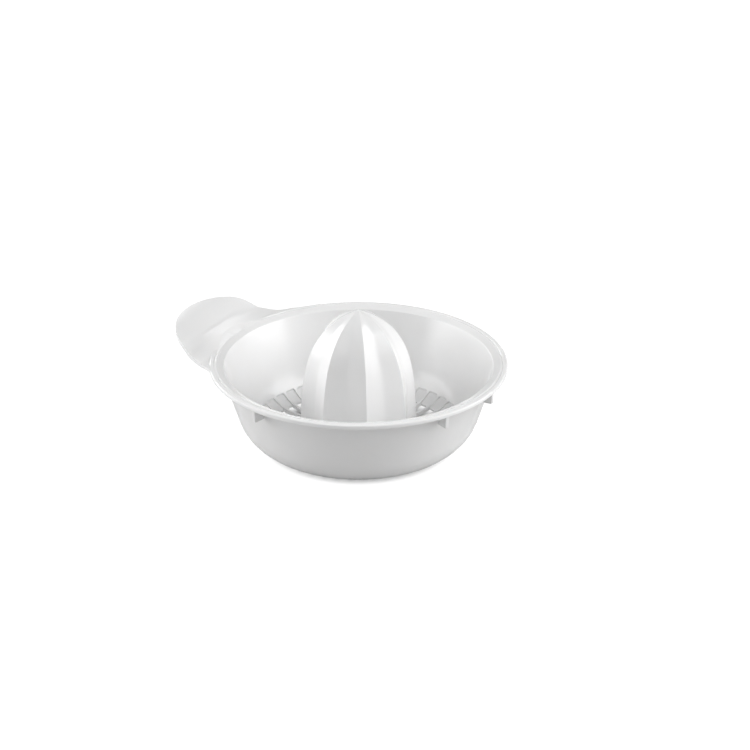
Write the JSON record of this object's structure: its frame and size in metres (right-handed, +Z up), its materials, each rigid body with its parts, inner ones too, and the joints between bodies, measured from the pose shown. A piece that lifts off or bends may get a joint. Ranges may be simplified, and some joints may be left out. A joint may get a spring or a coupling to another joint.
{
  "type": "citrus press dish with reamer cone",
  "caption": "Round strainer dish with a thumb handle and slotted floor, and a fluted reamer cone that turns on a drive spindle and lifts off.",
  "frame": {"origin": "on the bowl's axis, in the plane the dish stands on, at the flat end of the drive spindle", "axes": "+Z up along the bowl's axis, handle along -X, +Y to the left of someone who looks along +X"},
  "size_m": [0.199, 0.17, 0.0807],
  "materials": {
    "white_shell": "glossy moulded white plastic",
    "white_cone": "glossy moulded white plastic",
    "spindle_plastic": "satin bearing plastic, natural white",
    "clip_steel": "stamped spring steel"
  },
  "bodies": {
    "dish": {"strainer_dish": "white_shell"},
    "spindle": {"drive_spindle": "spindle_plastic", "retaining_clip": "clip_steel"},
    "cone": {"reamer_cone": "white_cone"}
  },
  "joints": [
    {"name": "spindle_spin", "type": "hinge", "parent": "dish", "child": "spindle", "pos_m": [0, 0, 0.03], "axis": [0, 0, 1], "continuous": true},
    {"name": "cone_lift", "type": "slide", "parent": "spindle", "child": "cone", "axis": [0, 0, 1], "range_m": [0, 0.055]}
  ]
}
